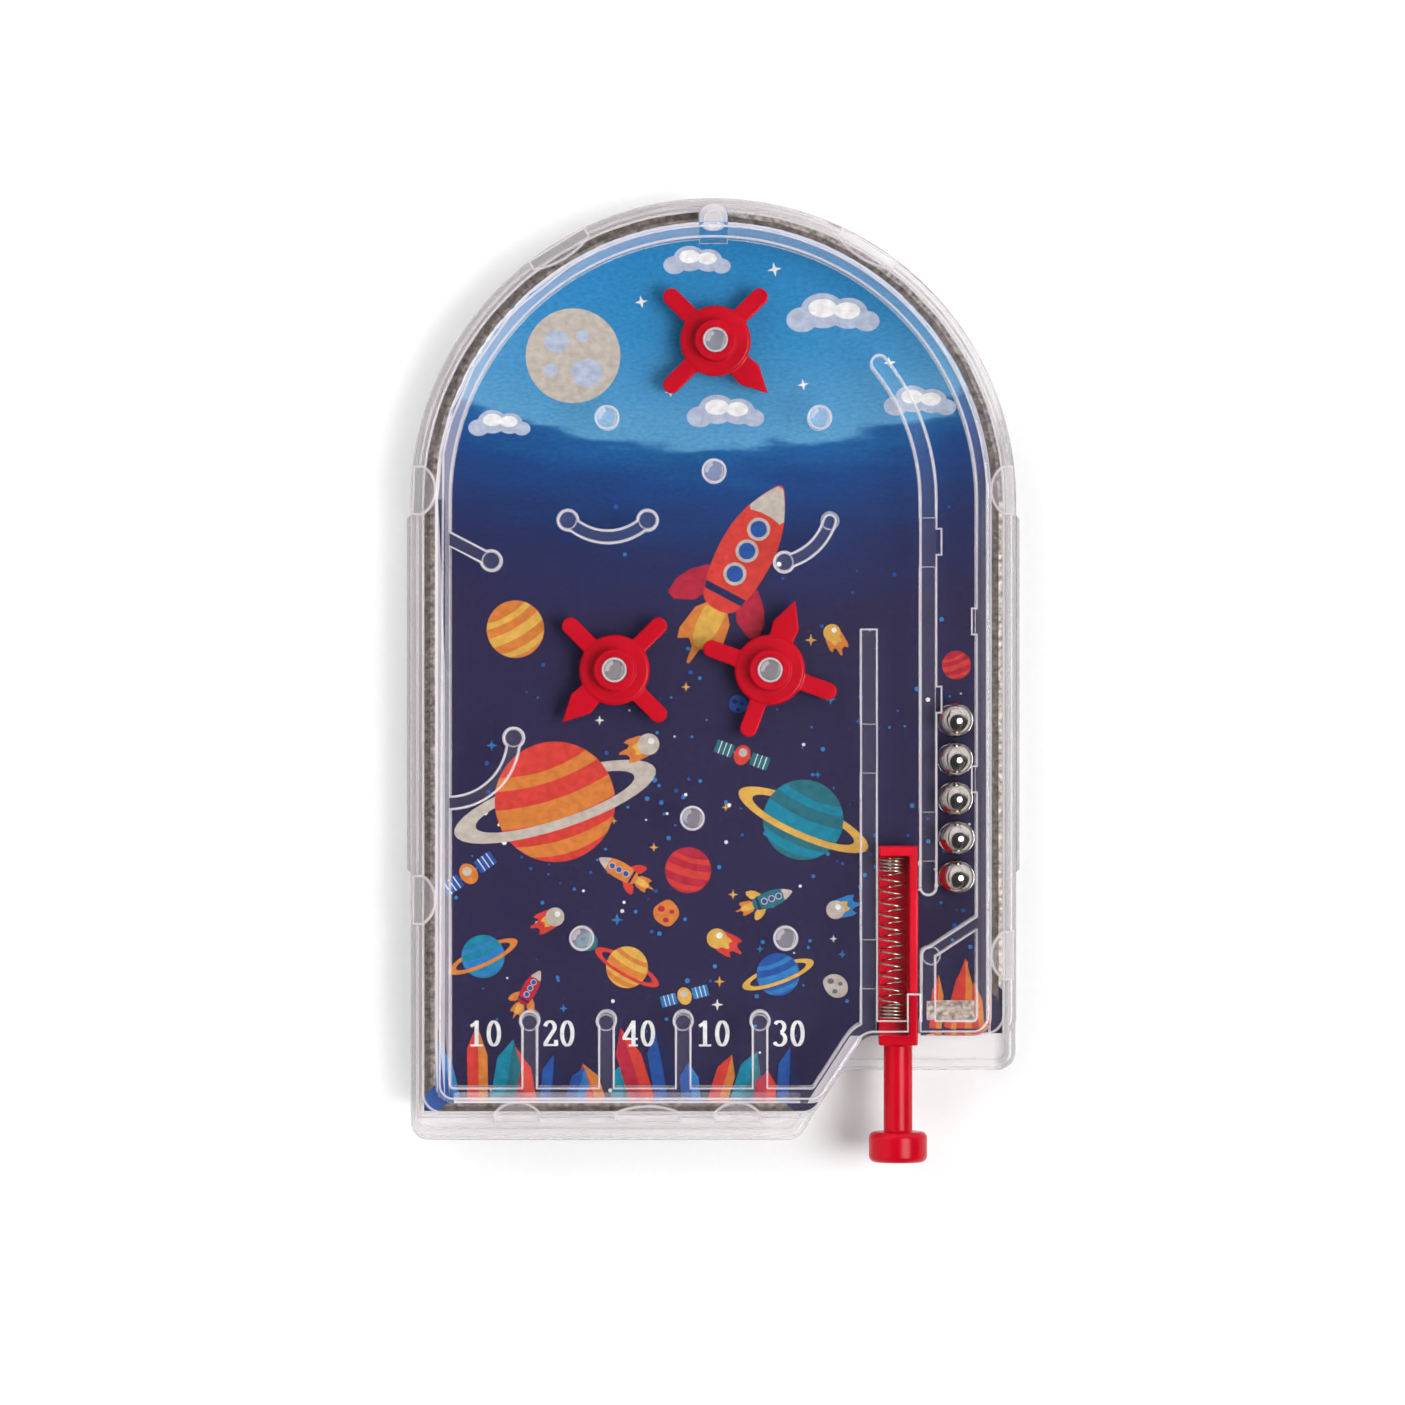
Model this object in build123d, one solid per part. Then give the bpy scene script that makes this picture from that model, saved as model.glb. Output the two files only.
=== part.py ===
from build123d import *
import math
import os

os.makedirs("parts", exist_ok=True)

# All sizes are in millimetres. The game lies flat: X across, Y towards the arch, Z up from the table.

# Case seen from above: an arch on straight sides, with the lower right corner cut away for the plunger
arch_centre_y = 24.8
case_half_width = 42.1
case_bottom_y = -64.0
corner_angle = 57.0
corner_from_lane = 1.7
corner_gap = 0.35
outline_radius = 2.6
end_wall_from_bottom = 14.8

# Base: a tray turned upside down, whose deck carries the card and whose rim holds the cover
deck_height = 7.2
deck_thickness = 1.2
base_wall = 1.4
rim_width = 1.8
rim_bottom_width = 3.9
rim_height = 2.1
rim_rounding = 0.9
rim_step_width = 0.7
rim_step_depth = 0.8
shelf_length = 5.2
shelf_rounding = 1.0
grip_depth = 0.5
grip_length = 49.5
grip_centre_y = -2.0
grip_low_z = 1.0
grip_height = 7.0
grip_bevel = 0.4

# Clips on the rim that reach over the brim of the cover, and shallow beads between them
clip_radius = 4.0
clip_gap = 0.15
bead_radius = 11.5
bead_reach = 0.9
clip_root = 1.3
clip_thickness = 1.1
side_clip_y = {"left": -30.6, "right": -38.3}
arch_clip_angles = (2.0, 178.0)
arch_bead_angles = (58.5, 121.5)
bottom_clip_x = (-27.2, 3.3)
bottom_bead_x = -9.1

# Locating pin at the top of the arch
pin_radius = 1.1
pin_height = 4.8
pin_outset = 0.4
pin_tip = 0.3
boss_half_width = 1.9
boss_wall_above_pin = 1.0

# Card
card_thickness = 0.6
card_margin = 0.1

# Cover: a brim that lies on the card, a wall round the playing space and a clear top plate
brim_width = 1.9
brim_bottom_width = 1.6
brim_thickness = 1.5
play_wall = 2.0
play_depth = 6.4
plate_thickness = 1.5
crown_rounding = 0.6

# Rails, pegs and dividers moulded under the top plate
peg_radius = 1.55
arch_pegs = ((-14.7, 10.7), (14.7, 10.7), (0.1, 18.1))
lower_pegs = ((-2.9, -19.2), (-18.2, -35.8), (10.0, -35.8))
rail_width = 1.7
rail_end_radius = 1.4
cup_rail = ((-20.1, 22.0), (-14.6, 19.7), (-9.1, 22.0))
hook_rail = ((9.8, 16.2), (13.8, 18.2), (16.1, 21.9))
side_rail_reach = 5.7
side_rail_y = 16.4
side_rail_slope = 27.5
pocket_rail_radius = 9.0
pocket_rail_y = -8.1
pocket_rail_offset = 0.2
divider_width = 2.0
divider_head_radius = 1.3
divider_count = 4
lanes_to_corner = 5.4
first_lane_extra = 0.4

# Ball channel along the right wall, and the firing lane beside it
ball_channel = 5.6
lane_wall = 2.2
lane_width = 6.0
inner_lane_top_y = 6.9
outer_lane_rise = 19.4
outer_lane_turn = 39.5
ramp_width = 1.5
ramp_rise = 11.2
ramp_slope = 33.0
notch_length = 6.8
notch_depth = 0.4
inner_lane_notches = (39.6, 9.7)
outer_lane_notches = (68.2, 27.4)
nub_depth = 0.7
nub_length = 3.6
nub_height = 1.1
inner_nubs = (68.2, 46.4)
outer_nubs = (57.2, 35.4)

# Spinners
spinner_top_x = 0.3
spinner_top_drop = 16.3
spinner_row_y = 1.3
spinner_left_share = 0.4
spinner_right_share = 0.779
spinner_angles = {"top": -45.0, "left": -135.0, "right": 70.0}
spinner_disc_radius = 4.9
spinner_disc_thickness = 1.8
spinner_disc_rise = 1.8
spinner_arm_width = 2.4
spinner_reach_share = 0.1725
spinner_arm_thickness = 1.4
spinner_arrow_extra = 0.5
spinner_arrow_head = 3.7
spinner_arrow_half_width = 1.9
spinner_hub_radius = 2.85
spinner_hub_height = 5.6
spinner_edge = 0.3
axle_clearance = 0.15
turn_gap = 0.15

# Plunger: a frame open at the left and the top, with a rod and a knob
plunger_side_gap = 0.3
plunger_length = 26.15
plunger_bar = 1.4
plunger_wall = 1.2
plunger_floor = 1.0
plunger_floor_gap = 0.2
plunger_height = 5.4
rod_radius = 2.0
rod_rise = 2.8
rod_length = 12.0
knob_radius = 4.05
knob_length = 4.25
knob_rounding = 0.9
stop_gap = 0.05
slot_gap = 0.25
window_length = 5.7

# Spring in the plunger's frame
wire_radius = 0.2
coil_radius = 1.65
coil_turns = 13
spring_end_gap = 0.1

# Balls, resting in their channel
ball_radius = 2.5
ball_count = 5
ball_rise = 21.8
ball_spacing = 5.45
ball_lean = 0.1
ball_rest_gap = 0.02

# Allowances: how far joined pieces sink into each other, and how far cuts run past a face
sink = 0.2
cut_past = 1.0

# Heights and places that follow from the sizes above
rim_top = deck_height + rim_height
card_top = deck_height + card_thickness
brim_top = card_top + brim_thickness
ceiling = card_top + play_depth
cover_top = ceiling + plate_thickness
brim_half_width = case_half_width - rim_width
brim_bottom_y = case_bottom_y + rim_bottom_width
crown_half_width = brim_half_width - brim_width
crown_bottom_y = brim_bottom_y + brim_bottom_width
end_wall_y = case_bottom_y + end_wall_from_bottom
end_wall_inner_y = end_wall_y + play_wall
inner_half_width = crown_half_width - play_wall
channel_left = inner_half_width - ball_channel
lane_right = channel_left - lane_wall
lane_left = lane_right - lane_width
lane_mid = lane_left + lane_width / 2
corner_top_x = lane_left - corner_from_lane
field_width = inner_half_width + lane_left - lane_wall
spinner_top_y = arch_centre_y + crown_half_width - spinner_top_drop
spinner_places = {
    "top": (spinner_top_x, spinner_top_y),
    "left": (spinner_left_share * field_width - inner_half_width, spinner_row_y),
    "right": (spinner_right_share * field_width - inner_half_width, spinner_row_y),
}
spinner_arm_reach = spinner_reach_share * field_width
spinner_arrow_reach = spinner_arm_reach + spinner_arrow_extra
peg_places = [(x, spinner_top_y - drop) for x, drop in arch_pegs] + list(lower_pegs)
divider_pitch = (corner_top_x + inner_half_width) / lanes_to_corner
divider_start_x = first_lane_extra - inner_half_width
divider_places = [divider_start_x + divider_pitch * (n + 1) for n in range(divider_count)]


def block(x, y, z):
    """A box between the low and high limits given for each axis."""
    size = (x[1] - x[0], y[1] - y[0], z[1] - z[0])
    middle = ((x[0] + x[1]) / 2, (y[0] + y[1]) / 2, (z[0] + z[1]) / 2)
    return Pos(*middle) * Box(*size)


def raised(sketch, low, high):
    """A sketch drawn from one height up to another."""
    return extrude(Pos(0, 0, low) * sketch, high - low)


def corner_x(y, outset):
    """Where the slanting line of the cut-away corner, moved outwards, has the given y."""
    slope = math.radians(corner_angle)
    return corner_top_x + (y - end_wall_y) / math.tan(slope) + outset / math.sin(slope)


def case_outline(half_width, low_y, step_y, outset):
    """The case's outline: an arch, straight sides, and a lower right corner that is cut away."""
    left = (-half_width, arch_centre_y)
    right = (half_width, arch_centre_y)
    arch = ThreePointArc(left, (0, arch_centre_y + half_width), right)
    sides = Polyline(
        right,
        (half_width, step_y),
        (corner_x(step_y, outset), step_y),
        (corner_x(low_y, outset), low_y),
        (-half_width, low_y),
        left,
    )
    face = make_face(arch.edges() + sides.edges())
    corners = face.vertices().filter_by(lambda v: v.Y < step_y + outline_radius)
    return fillet(corners, outline_radius)


def open_outline(half_width, low_y):
    """An outline that runs out past the case at the cut-away corner, for cutting the rim open there."""
    arch = Pos(0, arch_centre_y) * Circle(half_width)
    sides = Pos(0, (arch_centre_y + low_y) / 2) * Rectangle(2 * half_width, arch_centre_y - low_y)
    corner = Polyline(
        (lane_mid, end_wall_inner_y),
        (corner_x(end_wall_y, 0), end_wall_y),
        (corner_x(low_y - cut_past, 0), low_y - cut_past),
        (corner_x(low_y - cut_past, 0), 2 * low_y),
        (2 * half_width, 2 * low_y),
        (2 * half_width, end_wall_y),
        (half_width - cut_past, end_wall_y),
        (half_width - cut_past, end_wall_inner_y),
        close=True,
    )
    return arch + sides + make_face(corner.edges())


def bar(start, end, width):
    """A straight rail with round ends."""
    line = Line(start, end)
    middle = line @ 0.5
    angle = math.degrees(math.atan2(end[1] - start[1], end[0] - start[0]))
    return Pos(middle.X, middle.Y) * Rot(0, 0, angle) * SlotCenterToCenter(line.length, width)


def disc(place, radius):
    """A round patch at the given place."""
    return Pos(*place) * Circle(radius)


# Base
wide = case_outline(case_half_width, case_bottom_y, end_wall_y - shelf_length, corner_gap)
rimmed = case_outline(case_half_width, case_bottom_y, end_wall_y - corner_gap, corner_gap)
base = raised(rimmed, 0, rim_top)
base = fillet(base.edges().group_by(Axis.Z)[-1], rim_rounding)
shelf_start_y = end_wall_y + outline_radius
lower_x = (-case_half_width - cut_past, case_half_width + cut_past)
lower_end = block(lower_x, (case_bottom_y - cut_past, shelf_start_y), (0, deck_height))
shelf = raised(wide, 0, deck_height) & lower_end
shelf_edges = shelf.edges().group_by(Axis.Z)[-1].filter_by(lambda e: e.center().Y < shelf_start_y - sink)
base += fillet(shelf_edges, shelf_rounding)
base -= raised(offset(wide, -base_wall), 0, deck_height - deck_thickness)
seat = open_outline(brim_half_width + card_margin, brim_bottom_y - card_margin)
base -= raised(seat, deck_height, rim_top + cut_past)
step = open_outline(brim_half_width + rim_step_width, brim_bottom_y - rim_step_width)
base -= raised(step, rim_top - rim_step_depth, rim_top + cut_past)

grip_y = (grip_centre_y - grip_length / 2, grip_centre_y + grip_length / 2)
grip_z = (grip_low_z, grip_low_z + grip_height)
for side in (-1, 1):
    outer = side * (case_half_width + grip_depth)
    inner = side * (case_half_width - grip_depth)
    grip = block((min(inner, outer), max(inner, outer)), grip_y, grip_z)
    outer_edges = grip.faces().sort_by(Axis.X)[0 if side < 0 else -1].edges()
    base += chamfer(outer_edges, grip_bevel)


def clip(place, inward, radius, reach):
    """A round tongue over the brim, on a root that stands on the rim. inward is its direction in degrees."""
    width = 2 * math.sqrt(radius**2 - (radius - reach) ** 2)
    tongue = Pos(reach - radius, 0) * Circle(radius)
    tongue &= Pos(reach / 2 - clip_root / 2, 0) * Rectangle(reach + clip_root, width)
    root = tongue & Pos(-(clip_root + card_margin) / 2, 0) * Rectangle(clip_root - card_margin, 2 * radius)
    shape = raised(tongue, rim_top + card_margin, rim_top + card_margin + clip_thickness)
    shape += raised(root, rim_top - rim_step_depth - sink, rim_top + card_margin)
    return Pos(*place) * Rot(0, 0, inward) * shape


def on_arch(angle):
    """A place on the edge of the brim, at an angle about the centre of the arch."""
    turn = math.radians(angle)
    return brim_half_width * math.cos(turn), arch_centre_y + brim_half_width * math.sin(turn)


clip_reach = brim_width - clip_gap
bottom_clip_reach = brim_bottom_width - clip_gap
clips = [
    clip((-brim_half_width, side_clip_y["left"]), 0, clip_radius, clip_reach),
    clip((brim_half_width, side_clip_y["right"]), 180, clip_radius, clip_reach),
    clip((bottom_bead_x, brim_bottom_y), 90, bead_radius, bead_reach),
]
clips += [clip(on_arch(angle), angle + 180, clip_radius, clip_reach) for angle in arch_clip_angles]
clips += [clip(on_arch(angle), angle + 180, bead_radius, bead_reach) for angle in arch_bead_angles]
clips += [clip((x, brim_bottom_y), 90, clip_radius, bottom_clip_reach) for x in bottom_clip_x]
base += clips

pin_place = (0, arch_centre_y + crown_half_width + pin_outset)
pin = raised(disc(pin_place, pin_radius), deck_height - sink, deck_height + pin_height)
base += chamfer(pin.edges().group_by(Axis.Z)[-1], pin_tip)

# Card
card_outline = case_outline(brim_half_width - card_margin, brim_bottom_y + card_margin, end_wall_y, 0)
card = raised(card_outline - disc(pin_place, pin_radius + axle_clearance), deck_height, card_top)

# Cover
crown_outline = case_outline(crown_half_width, crown_bottom_y, end_wall_y, 0)
inner_outline = offset(crown_outline, -play_wall)
crown = raised(crown_outline, card_top, cover_top)
crown = fillet(crown.edges().group_by(Axis.Z)[-1], crown_rounding)
brim = raised(case_outline(brim_half_width, brim_bottom_y, end_wall_y, 0), card_top, brim_top)
playing_space = raised(inner_outline, card_top, ceiling)
cover = crown + brim - playing_space

# Rails and pegs, drawn together and moulded down to the card
channel_mid = (channel_left + inner_half_width) / 2
outer_lane_x = lane_right + lane_wall / 2
inner_lane_x = lane_left - lane_wall / 2
side_rail_angle = math.radians(side_rail_slope)
side_rail_end = (side_rail_reach - inner_half_width, side_rail_y)
side_rail_run = side_rail_reach + play_wall / 2
side_rail_start = (side_rail_end[0] - side_rail_run, side_rail_y + side_rail_run * math.tan(side_rail_angle))
pocket_centre = (-inner_half_width - pocket_rail_offset, pocket_rail_y)
pocket_end = (pocket_centre[0] + pocket_rail_radius, pocket_rail_y)
ramp_low = (outer_lane_x, end_wall_y + ramp_rise)
ramp_run = inner_half_width + play_wall / 2 - outer_lane_x
ramp_high = (outer_lane_x + ramp_run, ramp_low[1] + ramp_run * math.tan(math.radians(ramp_slope)))
outer_lane_low = (outer_lane_x, end_wall_y + outer_lane_rise + lane_wall / 2)
outer_lane_arc = CenterArc((0, arch_centre_y), outer_lane_x, 0, outer_lane_turn)

rails = Sketch()
rails += [disc(place, peg_radius) for place in peg_places]
rails += [disc(place, peg_radius) for place in spinner_places.values()]
for curve in (cup_rail, hook_rail):
    rails += SlotArc(ThreePointArc(*curve), rail_width)
    rails += disc(curve[0], rail_end_radius)
rails += disc(cup_rail[2], rail_end_radius)
rails += bar(side_rail_start, side_rail_end, rail_width)
rails += disc(side_rail_end, rail_end_radius)
rails += SlotArc(CenterArc(pocket_centre, pocket_rail_radius, -90, 90), rail_width)
rails += disc(pocket_end, rail_end_radius)
for x in divider_places:
    rails += bar((x, end_wall_inner_y), (x, crown_bottom_y + play_wall / 2), divider_width)
    rails += disc((x, end_wall_inner_y), divider_head_radius)
lane_root_y = end_wall_y + play_wall / 2
inner_lane_length = inner_lane_top_y - lane_root_y
inner_lane = Rectangle(lane_wall, inner_lane_length)
rails += Pos(inner_lane_x, lane_root_y + inner_lane_length / 2) * inner_lane
rails += bar(outer_lane_low, (outer_lane_x, arch_centre_y), lane_wall)
rails += SlotArc(outer_lane_arc, lane_wall)
rails += bar(ramp_low, ramp_high, ramp_width)
rails += bar(ramp_low, (outer_lane_x, lane_root_y), lane_wall - plunger_side_gap)
cover += raised(rails, card_top, ceiling)

for rises, x in ((inner_lane_notches, inner_lane_x), (outer_lane_notches, outer_lane_x)):
    for rise in rises:
        notch_x = (x - lane_wall, x + lane_wall)
        notch_mid_y = end_wall_y + rise
        notch_y = (notch_mid_y - notch_length / 2, notch_mid_y + notch_length / 2)
        cover -= block(notch_x, notch_y, (card_top, card_top + notch_depth))
for rises, x in ((inner_nubs, channel_left), (outer_nubs, inner_half_width)):
    for rise in rises:
        nub_x = (x - nub_depth, x + nub_depth)
        nub_mid_y = end_wall_y + rise
        nub_y = (nub_mid_y - nub_length / 2, nub_mid_y + nub_length / 2)
        cover += block(nub_x, nub_y, (ceiling - nub_height, ceiling + plate_thickness / 2))

# Boss over the locating pin
boss_y = (pin_place[1] - pin_radius - boss_half_width, arch_centre_y + brim_half_width - sink)
boss_top = deck_height + pin_height + boss_wall_above_pin
cover += block((-boss_half_width, boss_half_width), boss_y, (card_top, boss_top))
cover -= raised(disc(pin_place, pin_radius + axle_clearance), card_top, deck_height + pin_height + pin_tip)

# Way out for the plunger: a slot for its floor, one for its side wall, and a window over the wall
plunger_left = lane_left + plunger_side_gap
plunger_right = lane_right - plunger_side_gap
wall_left = plunger_right - plunger_wall
floor_low = card_top + plunger_floor_gap
floor_top = floor_low + plunger_floor
plunger_top = floor_low + plunger_height
slot_y = (end_wall_y - cut_past, end_wall_inner_y + sink)
cover -= block((lane_left, lane_right), slot_y, (card_top, floor_top + slot_gap))
cover -= block((wall_left - slot_gap, lane_right), slot_y, (card_top, ceiling))
window_y = (end_wall_y - cut_past, end_wall_y + window_length)
cover -= block((wall_left - slot_gap, lane_right), window_y, (card_top, cover_top + cut_past))

# Plunger
stop_y = end_wall_y - stop_gap
plunger_end_y = stop_y - plunger_bar
plunger_top_y = end_wall_y + plunger_length
plunger = block((plunger_left, plunger_right), (plunger_end_y, plunger_top_y), (floor_low, floor_top))
plunger += block((wall_left, plunger_right), (plunger_end_y, plunger_top_y), (floor_low, plunger_top))
for low_y in (plunger_top_y - plunger_bar, plunger_end_y):
    plunger += block((plunger_left, plunger_right), (low_y, low_y + plunger_bar), (floor_low, plunger_top))
rod_z = floor_low + rod_rise
rod_start = Plane((lane_mid, plunger_end_y + plunger_bar / 2, rod_z), x_dir=(1, 0, 0), z_dir=(0, -1, 0))
plunger += extrude(rod_start * Circle(rod_radius), rod_length + plunger_bar / 2)
knob_start = Plane((lane_mid, plunger_end_y - rod_length, rod_z), x_dir=(1, 0, 0), z_dir=(0, -1, 0))
knob = extrude(knob_start * Circle(knob_radius), knob_length)
plunger += fillet(knob.edges().filter_by(GeomType.CIRCLE), knob_rounding)

# Spring: a helix of biarcs, each half a turn, with short straight ends
spring_x = (plunger_left + wall_left) / 2
spring_z = floor_top + coil_radius + wire_radius + axle_clearance
spring_low_y = end_wall_inner_y + spring_end_gap + wire_radius
spring_high_y = plunger_top_y - plunger_bar - spring_end_gap - wire_radius
coil_pitch = (spring_high_y - spring_low_y) / coil_turns


def helix_point(turns):
    """A point on the middle line of the wire, and its direction there."""
    angle = 2 * math.pi * turns
    point = Vector(
        spring_x + coil_radius * math.cos(angle),
        spring_low_y + coil_pitch * turns,
        spring_z + coil_radius * math.sin(angle),
    )
    along = Vector(
        -2 * math.pi * coil_radius * math.sin(angle),
        coil_pitch,
        2 * math.pi * coil_radius * math.cos(angle),
    )
    return point, along.normalized()


def biarc(start, end):
    """Two arcs that join, and keep the direction of the helix at both ends."""
    (p, p_along), (q, q_along) = start, end
    span = q - p
    a = 2 * (p_along.dot(q_along) - 1)
    b = -2 * span.dot(p_along + q_along)
    c = span.dot(span)
    reach = (-b - math.sqrt(b * b - 4 * a * c)) / (2 * a)
    p_arm = p + p_along * reach
    q_arm = q - q_along * reach
    joint = (p_arm + q_arm) / 2
    return [
        Edge.make_tangent_arc(p, p_along, joint),
        Edge.make_tangent_arc(joint, q_arm - p_arm, q),
    ]


half_turns = [helix_point(n / 2) for n in range(2 * coil_turns + 1)]
first, first_along = half_turns[0]
last, last_along = half_turns[-1]
wire_edges = [Edge.make_line(first - first_along * 2 * wire_radius, first)]
for start, end in zip(half_turns, half_turns[1:]):
    wire_edges += biarc(start, end)
wire_edges.append(Edge.make_line(last, last + last_along * 2 * wire_radius))
wire_path = Wire(wire_edges)
wire_section = Plane(wire_path @ 0, z_dir=first_along) * Circle(wire_radius)
spring = sweep(wire_section, path=wire_path)

# Spinners
hub_low = card_top + turn_gap
disc_low = hub_low + spinner_disc_rise
arm_low = disc_low + (spinner_disc_thickness - spinner_arm_thickness) / 2


def spinner(place, angle):
    """A disc on a hub, with three round arms and one arrow, which points in the direction of angle."""
    shape = Pos(0, 0, disc_low) * Cylinder(
        spinner_disc_radius, spinner_disc_thickness, align=(Align.CENTER, Align.CENTER, Align.MIN)
    )
    shape = chamfer(shape.edges().filter_by(GeomType.CIRCLE), spinner_edge)
    arms = Sketch()
    for arm_angle in (90, 180, 270):
        arm = bar((0, 0), (spinner_arm_reach - spinner_arm_width / 2, 0), spinner_arm_width)
        arms += Rot(0, 0, arm_angle) * arm
    shoulder = spinner_arrow_reach - spinner_arrow_head
    arrow = Polyline(
        (0, spinner_arm_width / 2),
        (shoulder, spinner_arrow_half_width),
        (spinner_arrow_reach, 0),
        (shoulder, -spinner_arrow_half_width),
        (0, -spinner_arm_width / 2),
        close=True,
    )
    arms += make_face(arrow.edges())
    shape += raised(arms, arm_low, arm_low + spinner_arm_thickness)
    shape += raised(Circle(spinner_hub_radius), hub_low, hub_low + spinner_hub_height)
    shape -= raised(Circle(peg_radius + axle_clearance), card_top, ceiling)
    return Pos(*place) * Rot(0, 0, angle) * shape


# Balls, numbered from the lowest
def ball(number):
    """A steel ball in the channel, leaning to one wall or the other as the balls lie."""
    lean = ball_lean if number < 2 else -ball_lean
    y = end_wall_y + ball_rise + ball_spacing * number
    z = card_top + ball_radius + ball_rest_gap
    return Pos(channel_mid + lean, y, z) * Sphere(ball_radius)


export_step(base, "parts/base.step")
export_step(card, "parts/card.step")
export_step(cover, "parts/cover.step")
export_step(plunger, "parts/plunger.step")
export_step(spring, "parts/spring.step")
for name, place in spinner_places.items():
    export_step(spinner(place, spinner_angles[name]), f"parts/spinner_{name}.step")
for number in range(ball_count):
    export_step(ball(number), f"parts/ball_{number + 1}.step")

# Least gap between turns of the wire, measured on points that are more than half a turn apart
samples_per_turn = 24
trail = [helix_point(n / samples_per_turn)[0] for n in range(coil_turns * samples_per_turn + 1)]
nearest = min(
    (trail[m] - trail[n]).length
    for n in range(len(trail))
    for m in range(n + samples_per_turn // 2, len(trail))
)
print(f"spring: least gap between turns {nearest - 2 * wire_radius:.2f} mm")
wire_volume = math.pi * wire_radius**2 * wire_path.length
print(f"spring: volume {spring.volume:.2f}, section times length {wire_volume:.2f}")
for name, solid in (("base", base), ("card", card), ("cover", cover), ("plunger", plunger), ("spring", spring)):
    print(name, "solids", len(solid.solids()), "valid", solid.is_valid, "box", solid.bounding_box())
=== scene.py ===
import math
import random

import bmesh
import bpy
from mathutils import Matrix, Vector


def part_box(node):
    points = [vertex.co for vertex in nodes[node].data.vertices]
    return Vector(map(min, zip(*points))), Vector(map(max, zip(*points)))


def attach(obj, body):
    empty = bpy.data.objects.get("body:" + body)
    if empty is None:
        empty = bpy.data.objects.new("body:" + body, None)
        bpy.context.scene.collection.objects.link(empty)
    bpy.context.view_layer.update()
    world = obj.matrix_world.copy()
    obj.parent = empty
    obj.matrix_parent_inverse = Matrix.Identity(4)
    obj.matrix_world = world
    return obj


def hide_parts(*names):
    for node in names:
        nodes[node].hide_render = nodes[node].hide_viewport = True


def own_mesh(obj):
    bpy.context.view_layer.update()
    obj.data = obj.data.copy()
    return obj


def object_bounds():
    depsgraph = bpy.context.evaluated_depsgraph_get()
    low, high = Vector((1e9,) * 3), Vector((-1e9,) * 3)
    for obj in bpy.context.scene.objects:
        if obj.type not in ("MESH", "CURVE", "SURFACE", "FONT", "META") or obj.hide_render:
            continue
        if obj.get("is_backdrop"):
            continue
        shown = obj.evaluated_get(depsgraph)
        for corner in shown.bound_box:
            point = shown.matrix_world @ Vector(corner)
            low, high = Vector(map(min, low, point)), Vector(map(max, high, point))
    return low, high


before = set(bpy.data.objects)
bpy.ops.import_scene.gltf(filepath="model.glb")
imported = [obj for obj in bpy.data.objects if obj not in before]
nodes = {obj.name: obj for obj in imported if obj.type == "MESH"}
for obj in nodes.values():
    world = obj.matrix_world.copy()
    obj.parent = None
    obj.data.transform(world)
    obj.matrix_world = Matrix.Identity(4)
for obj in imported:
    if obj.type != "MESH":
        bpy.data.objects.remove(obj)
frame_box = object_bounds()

MM = 0.001
random.seed(7)

# Sizes and places are in millimetres in the part's frame, and angles in degrees, unless a heading says more

# Heights of the edges, faces and flat shapes that are shown
CARD_LOW, CARD_TOP = 7.22, 7.68
INK_STEP, LOWEST_LAYER = 0.012, -2
BAND_Z = 7.79
FOOT, FOOT_BELOW = 7.8, 8.3
RIM_SIDE, RIM_STEP, GLEAM_Z = 8.4, 8.5, 9.0
BRIM_TOP, CLIP_STEP, CLIP_TOP = 9.3, 0.05, 10.5
TAB_Z, RING_Z = 13.05, 13.9
CEILING, LENS_DROP, CRESCENT_DROP = 14.2, 0.3, 0.25
WALL_Z = 15.0
COVER_TOP, CROWN_DROP = 15.7, 0.2

# Outline of the card with its slanted corner, and the locating pin with its notch and tab
ARCH_Y = 24.8
CARD_HALF, CARD_LOW_Y = 40.2, -60.0
CORNER_X, CORNER_Y, CORNER_SLOPE = 20.9, -49.2, 57.0
PIN_Y, PIN_HOLE, PIN_GAP = 63.6, 1.25, 3.0
NOTCH_GAP, NOTCH_ENDS = 1.0, (60, -240)
PIN_TAB = (-1.9, 1.9, 62.0, 65.7)

# Painted highlight lines along moulded rounds, with rings of painted highlight where rails and dividers end,
# and rounds on the red mouldings
TUBE_STEPS = 3
RIM_INSET = 0.995
RAIL_ENDS = (
    (-20.1, 22.0),
    (-9.1, 22.0),
    (9.8, 16.2),
    (16.1, 21.9),
    (-30.7, 16.4),
    (-27.6, -8.1),
    (30.1, -38.2),
)
DIVIDER_HEADS, HEAD_Y = (-25.4, -14.8, -4.2, 6.4), -47.4
RAIL_RING, HEAD_RING = 1.2, 1.1
PLUNGER_ROUND, SPINNER_ROUND = 0.25, 0.22

# Pegs told by their girth, lenses as a share of it, crescents as two angles and an inner share, and materials;
# the lenses and crescents are painted highlights
PEG_GIRTH, LENS_SHARE, AXLE_NEAR = 12.0, 0.85, 3.0
CRESCENT_HIGHLIGHTS = ((100, 190, 0.55), (-50, 30, 0.85))
PEG_LENS, PIN_LENS, TAB_LENS, CRESCENT_GLINT = range(4)
SPINNERS = ("top", "left", "right")
BALL_COUNT = 5

# Limits that tell edges, faces and points apart, those of faces by the z in their normals
JOIN_ANGLE, FLAT_ANGLE = math.radians(0.5), math.radians(0.6)
SOFT_ANGLE, SHARP_ANGLE = math.radians(30), math.radians(40)
JOIN_NEAR, HEIGHT_NEAR = 0.002, 0.02
LEVEL_ABOVE, UPRIGHT_BELOW, DOWNWARD_BELOW = 0.9999, 0.0001, -0.9
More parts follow.
